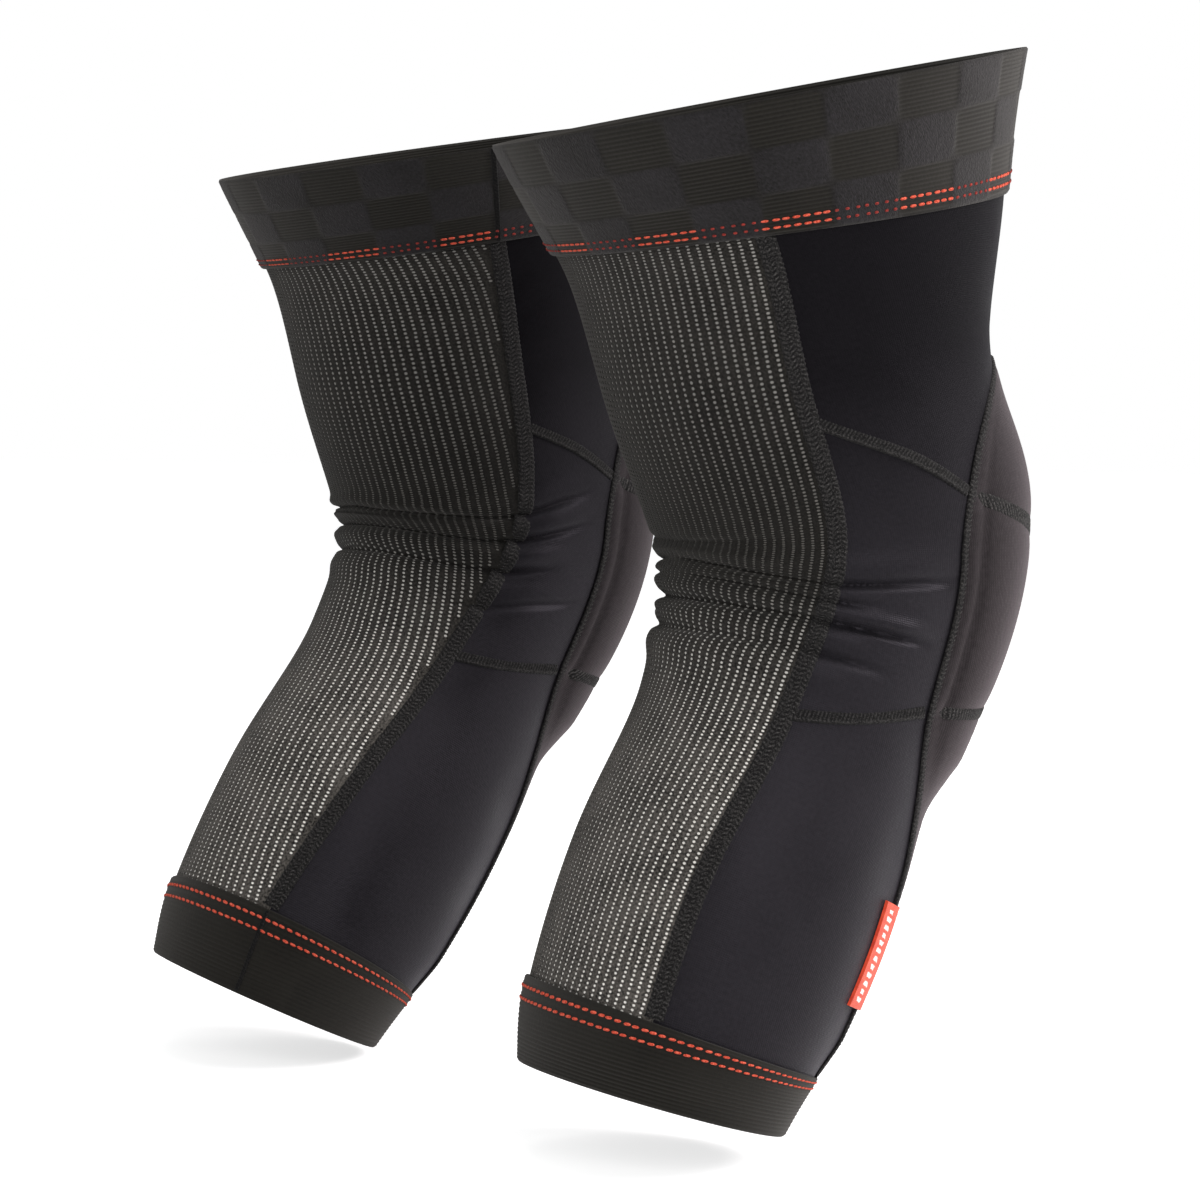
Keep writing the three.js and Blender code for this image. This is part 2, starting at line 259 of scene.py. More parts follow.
GUARDS = (
    Guard("right", -1, 0, 0, RIGHT_CREASES, 3.36, rim=(0, 0.8, 60), edge=(0, 2.8, 80), hem=(0, 0.8, -20)),
    Guard(
        "left", 1, 2.8, 8.5, LEFT_CREASES, 3.8, rim=(-4.7, 0.6, 0), edge=(1.2, 4.8, 20), hem=(0.2, 4.7, -57)
    ),
)

# ---- materials


class Shader:
    """A node material under construction; put() adds a node and returns it."""

    def __init__(self, name):
        self.material = bpy.data.materials.new(name)
        self.material.use_nodes = True
        self.tree = self.material.node_tree
        self.tree.nodes.clear()
        self.cloth = self.put("ShaderNodeAttribute", attribute_name="cloth").outputs["Vector"]
        parts = self.put("ShaderNodeSeparateXYZ", {0: self.cloth})
        self.around, self.along, self.mark = parts.outputs

    def put(self, kind, inputs=None, **settings):
        node = self.tree.nodes.new(kind)
        for key, value in settings.items():
            setattr(node, key, value)
        for key, value in (inputs or {}).items():
            if isinstance(value, bpy.types.NodeSocket):
                self.tree.links.new(value, node.inputs[key])
            else:
                node.inputs[key].default_value = value
        return node

    def math(self, operation, a, b=0.0, c=0.0):
        return self.put("ShaderNodeMath", {0: a, 1: b, 2: c}, operation=operation).outputs[0]

    def noise(self, size, detail=2.0, vector=None):
        """Noise between 0 and 1 with features of about size mm."""
        vector = self.cloth if vector is None else vector
        node = self.put("ShaderNodeTexNoise", {"Vector": vector, "Scale": 1 / size, "Detail": detail})
        return node.outputs["Fac"]

    def stretched(self, across, along):
        inputs = {0: self.cloth, 1: (across, along, 1)}
        return self.put("ShaderNodeVectorMath", inputs, operation="MULTIPLY").outputs[0]

    def ridges(self, place, pitch):
        """A wave between 0 and 1 along a coordinate in mm."""
        wave = self.math("SINE", self.math("MULTIPLY", place, 2 * math.pi / pitch))
        return self.math("MULTIPLY_ADD", wave, 0.5, 0.5)

    def mix(self, share, a, b):
        inputs = {0: share, 6: a, 7: b}
        return self.put("ShaderNodeMix", inputs, data_type="RGBA").outputs[2]

    def spread(self, value, low, high, to_low=0.0, to_high=1.0):
        inputs = {0: value, 1: low, 2: high, 3: to_low, 4: to_high}
        return self.put("ShaderNodeMapRange", inputs).outputs[0]

    def finish(
        self, colour, relief, roughness, depth, sheen=0.0, tint=(1, 1, 1, 1), specular=0.25,
        sheen_roughness=0.5,
    ):
        """Joins colours, and a relief up to about depth mm, to the surface of the material."""
        bump = self.put("ShaderNodeBump", {"Height": relief, "Distance": depth * MM, "Strength": 0.8})
        surface = self.put("ShaderNodeBsdfPrincipled", {
            "Base Color": colour, "Roughness": roughness, "Normal": bump.outputs[0],
            "Specular IOR Level": specular, "Specular Tint": tint,
            "Sheen Weight": sheen, "Sheen Tint": tint, "Sheen Roughness": sheen_roughness,
        })
        output = self.put("ShaderNodeOutputMaterial")
        self.tree.links.new(surface.outputs[0], output.inputs[0])
        return self.material


def grey(value, hue):
    """A grey tinted by a hue, as a colour with alpha."""
    return tuple(value * part for part in hue) + (1.0,)


VIOLET = (0.98, 0.9, 1.06)
ROSE = (1.08, 0.93, 0.98)


def knitted(name, dark, light, hue, sheen, specular, roughness, grain=0.9, on_calf=1.0, on_thigh=1.0):
    """Smooth stretch knit: fine wales along the leg, grain, painted light on the calf and painted shade on
    the thigh.
    """
    s = Shader(name)
    wales = s.ridges(s.around, 0.9)
    courses = s.ridges(s.along, 0.75)
    fine = s.noise(0.45, 3.0)
    coarse = s.noise(grain * 1.7, 2.0)
    cloud = s.noise(26.0, 2.0)
    weave = s.math("MULTIPLY", wales, courses)
    speckle = s.math("MULTIPLY_ADD", coarse, 0.75, s.math("MULTIPLY", fine, 0.45))
    speckle = s.math("MULTIPLY_ADD", cloud, 0.45, speckle)
    # painted light and shade by height: colour, sheen and gloss scaled from on_calf on the calf to on_thigh
    # on the thigh
    painted_light_by_height = s.spread(s.along, -20.0, 70.0, on_calf, on_thigh)
    share = s.math("MULTIPLY", painted_light_by_height, s.spread(speckle, 0.58, 1.12))
    colour = s.mix(share, grey(dark, hue), grey(light, hue))
    relief = s.math("MULTIPLY_ADD", weave, 0.45, s.math("MULTIPLY", coarse, 0.8))
    rough = s.spread(cloud, 0.3, 0.7, roughness - 0.05, roughness + 0.07)
    sheen, specular = (s.math("MULTIPLY", painted_light_by_height, part) for part in (sheen, specular))
    return s.finish(colour, relief, rough, 0.16, sheen, grey(0.95, hue), specular)


def mesh_knit():
    """Open knit between the holes: mottled warm grey yarn, with painted shade at the knee, in every hole
    and below it.
    """
    s = Shader("air_mesh")
    mottle = s.noise(0.9, 3.0)
    cloud = s.noise(18.0, 2.0)
    share = s.spread(s.math("MULTIPLY_ADD", cloud, 0.3, mottle), 0.46, 0.84)
    # painted light and shade by height: the yarn lit on the calf and high on the thigh, shaded around the
    # knee
    calf = s.spread(s.along, -100.0, -36.0, 1.0, 0.1)
    thigh = s.spread(s.along, 40.0, 115.0, 0.0, 0.16)
    painted_light_share = s.math("MULTIPLY", share, s.math("ADD", calf, thigh))
    colour = s.mix(painted_light_share, (0.0022, 0.002, 0.0018, 1), (0.12, 0.109, 0.098, 1))
    # painted shade in the holes: walls dark down to their floor, the rim below each hole half dark as its
    # shadow
    painted_hole_shade = s.mix(s.mark, colour, (0.002, 0.002, 0.0018, 1))
    return s.finish(painted_hole_shade, mottle, 0.85, 0.3, 0.1, (1, 0.97, 0.92, 1), 0.14)


def mesh_backing():
    """Pale inner layer seen through the holes; its leg side is dark lining."""
    s = Shader("air_mesh_backing")
    # painted light and shade by height: pale on the calf, dimmer up the thigh, darkest around the knee
    # creases
    calf = s.spread(s.along, -78.0, -22.0, 1.0, 0.05)
    thigh = s.spread(s.along, 25.0, 115.0, 0.0, 0.26)
    bright = s.math("ADD", calf, thigh)
    pale = s.mix(bright, (0.04, 0.038, 0.034, 1), (0.96, 0.93, 0.88, 1))
    mottle = s.noise(2.2, 2.0)
    pale = s.mix(s.spread(mottle, 0.3, 0.7, 0.0, 0.35), pale, (0.3, 0.28, 0.25, 1))
    colour = s.mix(s.mark, (0.02, 0.02, 0.021, 1), pale)
    return s.finish(colour, mottle, 0.7, 0.1, 0.1, specular=0.3)


def elastic(name, checkered):
    """Fine ribbed elastic; squares marked 1 are brushed to a plush pile."""
    s = Shader(name)
    ribs = s.ridges(s.along, 1.45)
    fibre = s.noise(0.55, 3.0, s.stretched(1.0, 0.45))
    speck = s.noise(1.1, 3.0)
    cloud = s.noise(22.0, 2.0)
    share = s.spread(s.math("MULTIPLY_ADD", cloud, 0.5, s.math("MULTIPLY", speck, 0.9)), 0.45, 1.0)
    ribbed = s.mix(share, (0.0014, 0.0012, 0.0008, 1), (0.0076, 0.0068, 0.0046, 1))
    # painted light on the rib crests and painted shade in their grooves
    ribbed = s.mix(s.math("MULTIPLY", ribs, 0.24), ribbed, (0.018, 0.0165, 0.0125, 1))
    if not checkered:
        ribbed = s.mix(s.spread(cloud, 0.35, 0.65, 0.1, 0.6), ribbed, (0.008, 0.0072, 0.0056, 1))
    plush = s.mix(share, (0.0022, 0.002, 0.0024, 1), (0.0172, 0.0157, 0.0184, 1))
    colour = s.mix(s.mark, ribbed, plush)
    pile = s.math("MULTIPLY", fibre, 2.4)
    relief = s.math("MULTIPLY_ADD", s.mark, s.math("SUBTRACT", pile, ribs), ribs)
    relief = s.math("MULTIPLY_ADD", speck, 0.6, relief)
    return s.finish(colour, relief, 0.85, 0.22, 0.14, (1, 0.96, 0.92, 1), 0.12, 0.6)


def stitched(name, dark, light, painted_highlight):
    """Sewing thread; marked places stand proud and carry light flecks as a painted highlight."""
    s = Shader(name)
    twist = s.noise(0.5, 2.0)
    wear = s.noise(7.0, 2.0)
    # painted highlight: light flecks where the thread is marked as standing proud
    painted_light_share = s.math("MULTIPLY", s.mark, s.spread(twist, 0.42, 0.62))
    colour = s.mix(s.spread(wear, 0.3, 0.7, 0.1, 0.5), dark, light)
    colour = s.mix(painted_light_share, colour, painted_highlight)
    return s.finish(colour, twist, 0.75, 0.2, 0.06, (1, 0.98, 0.98, 1), 0.14)


def padding():
    s = Shader("foam")
    cells = s.noise(0.8, 3.0)
    cloud = s.noise(9.0, 2.0)
    colour = s.mix(s.spread(cloud, 0.3, 0.7), (0.035, 0.035, 0.037, 1), (0.06, 0.06, 0.064, 1))
    return s.finish(colour, cells, 0.95, 0.3, 0.1, specular=0.2)


def silicone():
    s = Shader("silicone")
    beads = s.math("MULTIPLY", s.ridges(s.around, 6.0), s.ridges(s.along, 5.0))
    colour = s.mix(s.spread(beads, 0.3, 0.6), (0.016, 0.016, 0.017, 1), (0.045, 0.045, 0.05, 1))
    relief = s.math("MULTIPLY_ADD", s.noise(2.0), 0.2, beads)
    return s.finish(colour, relief, 0.38, 0.4, specular=0.5)


def woven_label():
    """Satin-woven red tab with a row of plain slanted bars as its only pattern."""
    s = Shader("label")
    weave = s.math("MULTIPLY", s.ridges(s.around, 0.5), s.ridges(s.along, 0.62))
    wear = s.noise(3.0, 3.0)
    red = s.mix(s.spread(wear, 0.3, 0.7), (0.62, 0.038, 0.012, 1), (0.82, 0.085, 0.03, 1))
    colour = s.mix(s.mark, red, (0.92, 0.86, 0.8, 1))
    relief = s.math("MULTIPLY_ADD", s.mark, 0.8, weave)
    return s.finish(colour, relief, 0.55, 0.12, 0.3, (1, 0.9, 0.85, 1), 0.35)


# painted light on the calf and painted shade on the thigh of the stretch fabric
LYCRA = knitted("stretch_fabric", 0.0014, 0.0085, VIOLET, 0.07, 0.15, 0.46, on_calf=1.2, on_thigh=0.4)
COVER = knitted("pad_cover", 0.0022, 0.0135, ROSE, 0.22, 0.1, 0.7, 1.1)
LINING = knitted("pocket_lining", 0.006, 0.02, VIOLET, 0.1, 0.15, 0.8)
MESH = mesh_knit()
BACKING = mesh_backing()
THIGH_ELASTIC = elastic("elastic_cuff_checked", True)
CALF_ELASTIC = elastic("elastic_cuff_plain", False)
BLACK_THREAD = stitched(
    "seam_thread", (0.0016, 0.0015, 0.0016, 1), (0.0036, 0.0034, 0.0035, 1), (0.095, 0.09, 0.087, 1)
)
RED_THREAD = stitched(
    "contrast_thread", (0.4, 0.032, 0.014, 1), (0.58, 0.06, 0.026, 1), (0.76, 0.15, 0.09, 1)
)
# a darker copy of the red thread: painted shade for stitches sunk into the thigh cuff's plush; the label's
# stitches use it too
DARK_RED_THREAD = stitched("dark_red_thread", (0.12, 0.012, 0.01, 1), (0.2, 0.02, 0.015, 1), (0.34, 0.04, 0.03, 1))
FOAM = padding()
SILICONE = silicone()
LABEL = woven_label()

# ---- making pieces


BLEND_REACH = 88  # pieces lying wholly further than this above or below the knee follow the thigh or the calf
BENDING = (-BLEND_REACH, BLEND_REACH)


def add_piece(guard, name, points, quads, cloth, material, slot, node=None, span=BENDING, sharp=55):
    """Makes a mesh piece that stands for a node of the CAD, by default the one of its own name.

    Faces are wound for the left guard and turned for the right. The heights it spans say which bodies it
    follows.
    """
    if guard.side < 0:
        quads = quads[:, ::-1]
    mesh = bpy.data.meshes.new(name)
    mesh.vertices.add(len(points))
    mesh.vertices.foreach_set("co", np.ascontiguousarray(points, np.float32).ravel())
    mesh.loops.add(quads.size)
    mesh.loops.foreach_set("vertex_index", np.ascontiguousarray(quads, np.int32).ravel())
    mesh.polygons.add(len(quads))
    mesh.polygons.foreach_set("loop_start", np.arange(0, quads.size, 4, dtype=np.int32))
    mesh.update(calc_edges=True)
    mesh.polygons.foreach_set("use_smooth", np.ones(len(quads), bool))
    mesh.set_sharp_from_angle(angle=math.radians(sharp))
    layer = mesh.attributes.new("cloth", "FLOAT_VECTOR", "POINT")
    layer.data.foreach_set("vector", np.ascontiguousarray(cloth, np.float32).ravel())
    mesh.materials.append(material)
    piece = bpy.data.objects.new(f"{guard.name}_{name}_cloth", mesh)
    bpy.context.scene.collection.objects.link(piece)
    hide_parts(f"{guard.name}_{node or name}")
    follow(guard, piece, *span)


def follow(guard, piece, low, high):
    """Lets a piece move with the thigh or with the calf; one that spans the knee only has its place baked
    in.
    """
    thigh, calf = guard.name + "_thigh", guard.name + "_calf"
    if low > BLEND_REACH:
        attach(piece, thigh)
    elif high < -BLEND_REACH:
        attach(piece, calf)
    else:
        start, end = guard.centre_line(BLEND_REACH), guard.centre_line(-BLEND_REACH)
        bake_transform(piece)


def quads_between(a, b, c, d):
    return np.stack([a, b, c, d], -1).reshape(-1, 4)


def shell_quads(rows, across, open_sides=False):
    """Faces of a closed body between an inner and an outer grid of points, stored one after the other."""
    low = np.arange(rows * across).reshape(rows, across)
    top = low + rows * across
    faces = [
        quads_between(low[:-1, :-1], low[:-1, 1:], low[1:, 1:], low[1:, :-1]),
        quads_between(top[:-1, :-1], top[1:, :-1], top[1:, 1:], top[:-1, 1:]),
        quads_between(low[0, :-1], top[0, :-1], top[0, 1:], low[0, 1:]),
        quads_between(low[-1, :-1], low[-1, 1:], top[-1, 1:], top[-1, :-1]),
    ]
    if not open_sides:
        faces.append(quads_between(low[:-1, 0], low[1:, 0], top[1:, 0], top[:-1, 0]))
        faces.append(quads_between(low[:-1, -1], top[:-1, -1], top[1:, -1], low[1:, -1]))
    return np.concatenate(faces)


SLOPE_STRETCH = 1.06  # length of sleeve for each mm of height


def cloth_coordinates(height, turn, mark):
    """What the materials read: mm around the sleeve, mm along it, and a mark from 0 to 1."""
    around = np.radians(turn) * radius_at(height)
    return np.stack(np.broadcast_arrays(around, height * SLOPE_STRETCH, mark), -1)


def layers(inner, outer):
    """The vectors of a closed body, those of its inner grid before those of its outer one."""
    return np.concatenate([inner.reshape(-1, 3), outer.reshape(-1, 3)])


def lined(cloth):
    """Cloth coordinates for both grids of a closed body. The inner one has no marks."""
    return layers(cloth * (1, 1, 0), cloth)


def shell(
    guard, name, height, turn, inside, outside, material, slot, ring=False, mark=0.0, place=None, **ties
):
    """Makes a closed piece of fabric between two lifts, or a ring of it that meets itself.

    If given, place shifts the heights of an askew cuff. The ties are add_piece()'s node and span.
    """
    spot = place(height, turn) if place else height
    points = layers(guard.surface(spot, turn, inside), guard.surface(spot, turn, outside))
    cloth = lined(cloth_coordinates(height, turn, mark))
    quads = shell_quads(*height.shape, open_sides=ring)
    add_piece(guard, name, points, quads, cloth, material, slot, **ties)


def shares(rows, columns):
    """Shares from 0 to 1 over the rows and over the columns of a grid."""
    return np.linspace(0, 1, rows + 1)[:, None], np.linspace(0, 1, columns + 1)[None, :]


PLACE_ROUNDS = 9


def places(start, end, low, high, step, across_step=None):
    """A grid of heights and turns between two turn lines and two height lines, about step mm apart.

    The four lines depend on each other, so the grid is found by going round them a few times.
    """
    turn = (start(0) + end(0)) / 2
    middle = (low(turn) + high(turn)) / 2
    width = np.radians(end(middle) - start(middle)) * radius_at(middle)
    columns = max(4, round(float(width) / (across_step or step)))
    rows = max(4, round(float(high(turn) - low(turn)) / step))
    along, across = shares(rows, columns)
    height = np.full((rows + 1, columns + 1), float(middle))
    for _ in range(PLACE_ROUNDS):
        turn = start(height) * (1 - across) + end(height) * across
        height = low(turn) * (1 - along) + high(turn) * along
    return height, turn


def level(value):
    return lambda turn: np.full(np.shape(turn), float(value))


def relief_noise(shape, seed, amount):
    return np.random.default_rng(seed).uniform(-amount, amount, shape)


# ---- flat panels

PANEL_STEP = 1.7  # mm between vertices of the plain panels
CREASE_STEP = 0.75  # mm between them where the knee creases run
WAVINESS = 0.25  # mm


def body_panels(guard):
    def thigh_end(height):
        return 360 + inner_seam(height)

    height, turn = places(BACK_SEAM[1], thigh_end, thigh_panel_edge, level(PANEL_TOP), PANEL_STEP)
    soft = WAVINESS * np.sin(turn / 11 + height / 31) * smoothstep(PANEL_TOP - height, 0, 30)
    shell(guard, "thigh_panel", height, turn, soft - FABRIC, soft, LYCRA, "stretch_fabric")

    for flank, way in (("outer", 1), ("inner", -1)):
        for part, low, high, step in (
            ("knee_side_", lower_seam, knee_seam, CREASE_STEP),
            ("calf_side_", level(PANEL_BOTTOM), lower_seam, PANEL_STEP),
        ):
            height, turn = places(BACK_SEAM[way], front_seam, low, high, step)
            soft = WAVINESS * np.sin(turn / 9 + height / 23)
            if way < 0:
                height, turn, soft = (grid[:, ::-1] for grid in (height, 360 - turn, soft))
            shell(guard, part + flank, height, turn, soft - FABRIC, soft, LYCRA, "stretch_fabric")


# ---- mesh back

MESH_ROW = 1.45  # mm between rows of holes
MESH_COLUMNS = 56
MESH_WIDENS = 0.4  # mm that the columns lie further apart on the thigh
MESH_MARGIN = 3.2  # mm beside the far seam without holes
YARN_BULGE, HOLE_RIM, HOLE_FLOOR = 0.06, -0.06, -0.34  # lifts
BACKING_BACK, BACKING_FACE = -1.1, -0.32  # lifts
BACKING_STEP = 2.4  # mm between the columns of its grid


def mesh_back(guard):
    """An open knit with a hole in every cell, on a pale backing sheet. Columns run along the outer seam."""
    corners = np.arange(PANEL_BOTTOM, PANEL_TOP + MESH_ROW, MESH_ROW)[:, None]

    def column_turn(height, column):
        pitch = guard.pitch + MESH_WIDENS * smoothstep(height, -60, 110)
        turn = BACK_SEAM[1](height) - np.degrees(pitch * column / radius_at(height))
        return np.maximum(turn, inner_seam(height))

    index = np.arange(MESH_COLUMNS + 1)[None, :]
    half = (corners[:-1] + corners[1:]) / 2
    corner_turn = column_turn(corners, index)
    half_turn = column_turn(half, index)
    corner_height = np.broadcast_to(corners, corner_turn.shape)
    half_height = np.broadcast_to(half, half_turn.shape)

    open_cell = half_turn[:, 1:] > inner_seam(half) + np.degrees(MESH_MARGIN / radius_at(half))
    open_cell[:, 0] = False
    used = half_turn[:, :-1] > half_turn[:, 1:] + 1e-6

    count = corner_turn.size
    corner = np.arange(count).reshape(corner_turn.shape)
    side = count + np.arange(half_turn.size).reshape(half_turn.shape)
    left, right = side[:, :-1], side[:, 1:]
    low_left, low_right = corner[:-1, :-1], corner[:-1, 1:]
    top_left, top_right = corner[1:, :-1], corner[1:, 1:]

    plain = used & ~open_cell
    faces = [
        quads_between(low_left[plain], low_right[plain], right[plain], left[plain]),
        quads_between(left[plain], right[plain], top_right[plain], top_left[plain]),
    ]

    cells = used & open_cell
    row, _ = np.nonzero(cells)
    holes = len(row)
    ring = count + half_turn.size + np.arange(6 * holes).reshape(holes, 6)
    floor = ring + 6 * holes
    outer_ring = np.stack(
        [left[cells], low_left[cells], low_right[cells], right[cells], top_right[cells], top_left[cells]], 1
    )
    for k in range(6):
        n = (k + 1) % 6
        faces.append(quads_between(outer_ring[:, k], outer_ring[:, n], ring[:, n], ring[:, k]))
        faces.append(quads_between(ring[:, k], ring[:, n], floor[:, n], floor[:, k]))

    # six places around each hole, as shares of the cell: a wide, low oval
    across = np.array((-0.2, -0.1, 0.1, 0.2, 0.1, -0.1))
    up = np.array((0.0, -0.28, -0.28, 0.0, 0.28, 0.28))
    jitter = np.random.default_rng(7).normal(0, 0.018, (holes, 2))
    width = (half_turn[:, :-1] - half_turn[:, 1:])[cells]
    middle = (half_turn[:, :-1] + half_turn[:, 1:])[cells][:, None] / 2
    hole_turn = middle - width[:, None] * (across + jitter[:, :1])
    hole_height = half[row] + MESH_ROW * (up + jitter[:, 1:])

    def joined(*grids):
        return np.concatenate([grid.ravel() for grid in grids])

    height = joined(corner_height, half_height, hole_height, hole_height)
    turn = joined(corner_turn, half_turn, hole_turn, hole_turn)
    lift = np.repeat((0.0, YARN_BULGE, HOLE_RIM, HOLE_FLOOR), (count, half_turn.size, 6 * holes, 6 * holes))
    # marks for the holes' painted shade: half on the rim below each hole, full on the hole floor
    painted_shadow_below_hole = np.broadcast_to(np.array((0.2, 0.9, 0.9, 0.2, 0.0, 0.0)), (holes, 6)).ravel()
    mark = np.concatenate([np.zeros(count + half_turn.size), 0.5 * painted_shadow_below_hole, np.ones(6 * holes)])
    points = guard.surface(height, turn, lift)
    quads = np.concatenate(faces)[:, ::-1]
    cloth = cloth_coordinates(height, turn, mark)
    add_piece(guard, "mesh_panel", points, quads, cloth, MESH, "air_mesh", sharp=70)

    bottom, top = level(PANEL_BOTTOM), level(PANEL_TOP)
    height, turn = places(inner_seam, BACK_SEAM[1], bottom, top, CREASE_STEP, BACKING_STEP)
    shell(
        guard, "mesh_backing", height, turn, BACKING_BACK, BACKING_FACE, BACKING, "air_mesh",
        mark=1.0, node="mesh_panel",
    )


# ---- pads, pocket and covers


def front_places(low, high, share=1.0, step=PANEL_STEP):
    """A grid over the pad cover, or over a share of its width."""
    def edge(side):
        return lambda height: 180 + side * share * cover_reach(height)

    return places(edge(-1), edge(1), low, high, step)


def along_seam(seam, shift=0.0):
    """A height line along a seam, or a shift above it."""
    return lambda turn: seam(folded(turn)) + shift


SIM_SCALE = 40.0  # the cover is simulated this much larger, where the solver's settings suit it
SIM_FRAMES = 20
PUFF = 1.3  # most that the padding pushes a cover out, in mm


def puffed(guard, height, turn, lift):
    """How far, in mm, padding pushes out a cover that is held along all its edges."""
    start = guard.surface(height, turn, lift) * SIM_SCALE
    _, out = guard.section(height, turn)
    at = np.arange(height.size).reshape(height.shape)
    faces = quads_between(at[:-1, :-1], at[1:, :-1], at[1:, 1:], at[:-1, 1:])
    if guard.side < 0:
        faces = faces[:, ::-1]
    mesh = bpy.data.meshes.new("cover_sim")
    mesh.from_pydata(start.reshape(-1, 3).tolist(), [], faces.tolist())
    cover = bpy.data.objects.new("cover_sim", mesh)
    bpy.context.scene.collection.objects.link(cover)
    edge = np.concatenate([at[0], at[-1], at[:, 0], at[:, -1]])
    cover.vertex_groups.new(name="held").add(np.unique(edge).tolist(), 1.0, "REPLACE")
    cloth = cover.modifiers.new("cloth", "CLOTH")
    cloth.settings.quality = 6
    cloth.settings.mass = 0.05
    cloth.settings.tension_stiffness = cloth.settings.compression_stiffness = 12
    cloth.settings.bending_stiffness = 2.0
    cloth.settings.vertex_group_mass = "held"
    cloth.settings.use_pressure = True
    cloth.settings.uniform_pressure_force = 4.0
    cloth.settings.effector_weights.gravity = 0.0
    cloth.point_cache.frame_start, cloth.point_cache.frame_end = 1, SIM_FRAMES
    for number in range(1, SIM_FRAMES + 1):
        bpy.context.scene.frame_set(number)
    moved = cover.evaluated_get(bpy.context.evaluated_depsgraph_get()).to_mesh()
    end = np.zeros(height.size * 3, np.float32)
    moved.vertices.foreach_get("co", end)
    push = ((end.reshape(start.shape) - start) * out).sum(-1) / SIM_SCALE / MM
    bpy.data.objects.remove(cover)
    bpy.context.scene.frame_set(1)
    return PUFF * np.tanh(np.maximum(push, 0) / PUFF)


def pad_covers(guard):
    for part, low, high in (
        ("cover_thigh", along_seam(knee_seam), level(ARCH_TOP)),
        ("cover_knee", along_seam(lower_seam), along_seam(knee_seam)),
        ("cover_shin", level(CALF_CUFF_TOP), along_seam(lower_seam)),
    ):
        height, turn = front_places(low, high)
        lift = 0.1 + pad_rise(height, turn)
        lift = lift + puffed(guard, height, turn, lift)
        shell(guard, part, height, turn, lift, lift + FABRIC, COVER, "pad_cover")


PAD_GAP = 3  # mm between a pad's edge and the seam, so that the pads can hinge there
PAD_STEP, LINING_STEP = 3.0, 2.5  # mm between vertices
PAD_SHARE, LINING_SHARE = 0.86, 0.95  # of the cover's width
PAD_INSIDE, PAD_CLEARANCE = -2.2, 0.8  # lift of a pad's leg side, and its gap to the cover
LINING_INSIDE, LINING_OUTSIDE = -3.7, -2.9  # lifts


def pads(guard):
    for part, low, high in (
        ("pad_thigh", along_seam(knee_seam, PAD_GAP), level(ARCH_TOP - 6)),
        ("pad_knee", along_seam(lower_seam, PAD_GAP), along_seam(knee_seam, -PAD_GAP)),
        ("pad_shin", level(PAD_BOTTOM), along_seam(lower_seam, -PAD_GAP)),
    ):
        height, turn = front_places(low, high, PAD_SHARE, PAD_STEP)
        outside = pad_rise(height, turn) - PAD_CLEARANCE
        shell(guard, part, height, turn, PAD_INSIDE, outside, FOAM, "foam")


def pocket_lining(guard):
    height, turn = front_places(level(PAD_BOTTOM - 6), level(ARCH_TOP - 2), LINING_SHARE, LINING_STEP)
    sag = 0.3 * np.sin(height / 6) * np.sin(np.radians(turn) * 9)
    inside, outside = sag + LINING_INSIDE, sag + LINING_OUTSIDE
    shell(guard, "pocket_lining", height, turn, inside, outside, LINING, "stretch_fabric")


# ---- cuffs

THIGH_CUFF = (THIGH_CUFF_BOTTOM, THIGH_RIM)
CALF_CUFF = (CALF_HEM, CALF_CUFF_TOP)
SQUARES = 22  # plush and ribbed squares around the thigh cuff
SQUARE_ROWS = 3
SQUARE_PHASE = 11.6  # degrees
RIB_PITCH = 1.45
CUFF_INSIDE, THIGH_CUFF_OUTSIDE, CALF_CUFF_OUTSIDE = 0.6, 1.55, 1.75  # lifts
PLUSH_PILE = 0.32


def checker(height, turn):
    """1 in plush squares, 0 in ribbed ones, with softened borders."""
    column = (turn - SQUARE_PHASE) / 360 * SQUARES
    row = (height - THIGH_CUFF_BOTTOM) / (THIGH_RIM - THIGH_CUFF_BOTTOM) * SQUARE_ROWS
    wave = np.sin(np.pi * column) * np.sin(np.pi * row)
    return smoothstep(wave, -0.1, 0.1)


def cuff_grid(low, high, columns, step):
    """A grid around a whole cuff that starts and ends at its join."""
    rows = round((high - low) / step)
    along, around = np.linspace(low, high, rows + 1), np.linspace(0, 360, columns + 1)
    height, turn = np.meshgrid(along, around, indexing="ij")
    return height, turn + inner_seam(THIGH_CUFF_BOTTOM)


def rim_round(height, low, high):
    """How far the cuff's faces draw together at its two rims."""
    edge = np.minimum(height - low, high - height)
    return 0.45 * (1 - smoothstep(edge, 0, 0.9))


def cuff_waves(height, turn):
    return 0.35 * np.sin(np.radians(turn) * 7 + 1) * smoothstep(height, 118, 160)


def cuffs(guard):
    height, turn = cuff_grid(*THIGH_CUFF, 540, 0.72)
    plush = checker(height, turn)
    draw = rim_round(height, *THIGH_CUFF)
    waves = cuff_waves(height, turn)
    outside = THIGH_CUFF_OUTSIDE + PLUSH_PILE * plush + waves - draw
    outside = outside + relief_noise(height.shape, 3, 0.06) * (0.3 + plush)
    shell(
        guard, "thigh_cuff", height, turn, CUFF_INSIDE + waves + draw, outside, THIGH_ELASTIC,
        "elastic_cuff", ring=True, mark=plush, place=guard.on_thigh_cuff, span=THIGH_CUFF,
    )

    height, turn = cuff_grid(*CALF_CUFF, 420, 0.48)
    draw = rim_round(height, *CALF_CUFF)
    ribs = 0.13 * np.sin(height * 2 * np.pi / RIB_PITCH)
    outside = CALF_CUFF_OUTSIDE + ribs - draw
    shell(
        guard, "calf_cuff", height, turn, CUFF_INSIDE + draw, outside, CALF_ELASTIC,
        "elastic_cuff", ring=True, place=guard.on_calf_cuff, span=CALF_CUFF,
    )


